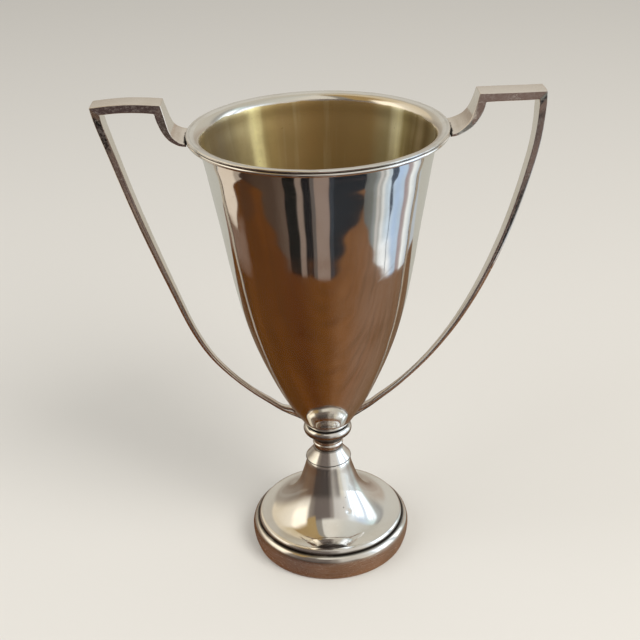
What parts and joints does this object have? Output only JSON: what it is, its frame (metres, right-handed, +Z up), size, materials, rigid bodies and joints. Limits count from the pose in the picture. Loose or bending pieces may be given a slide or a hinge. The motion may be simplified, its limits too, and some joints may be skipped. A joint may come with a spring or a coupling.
{
  "type": "cup trophy",
  "caption": "Tall two-handled silver-plated trophy cup with angular strip handles, a gilt-lined tapered bowl, a turned stem and a grooved trumpet foot.",
  "frame": {"origin": "on the cup's axis, on the plane the foot stands on", "axes": "+Z up along the cup's axis; the two handles reach out along X, the left one towards -X; +Y points to the back"},
  "size_m": [0.1782, 0.1046, 0.2133],
  "materials": {
    "silver_plate": "hand-polished silver plate with fine wiping scratches and light tarnish in the corners; the bowl is gilt inside",
    "gilt": "worn satin gilding inside the bowl",
    "brass": "dull turned brass",
    "steel": "plain turned steel"
  },
  "bodies": {
    "root": {"bowl": "silver_plate", "rim_wire": "silver_plate", "handle_left": "silver_plate", "handle_right": "silver_plate", "knop_ring": "silver_plate", "neck": "silver_plate", "collar": "silver_plate", "foot": "silver_plate", "foot_border": "silver_plate", "bowl_boss": "brass", "stem_stud": "steel", "stud_washer": "brass", "stud_nut": "brass"}
  },
  "joints": []
}
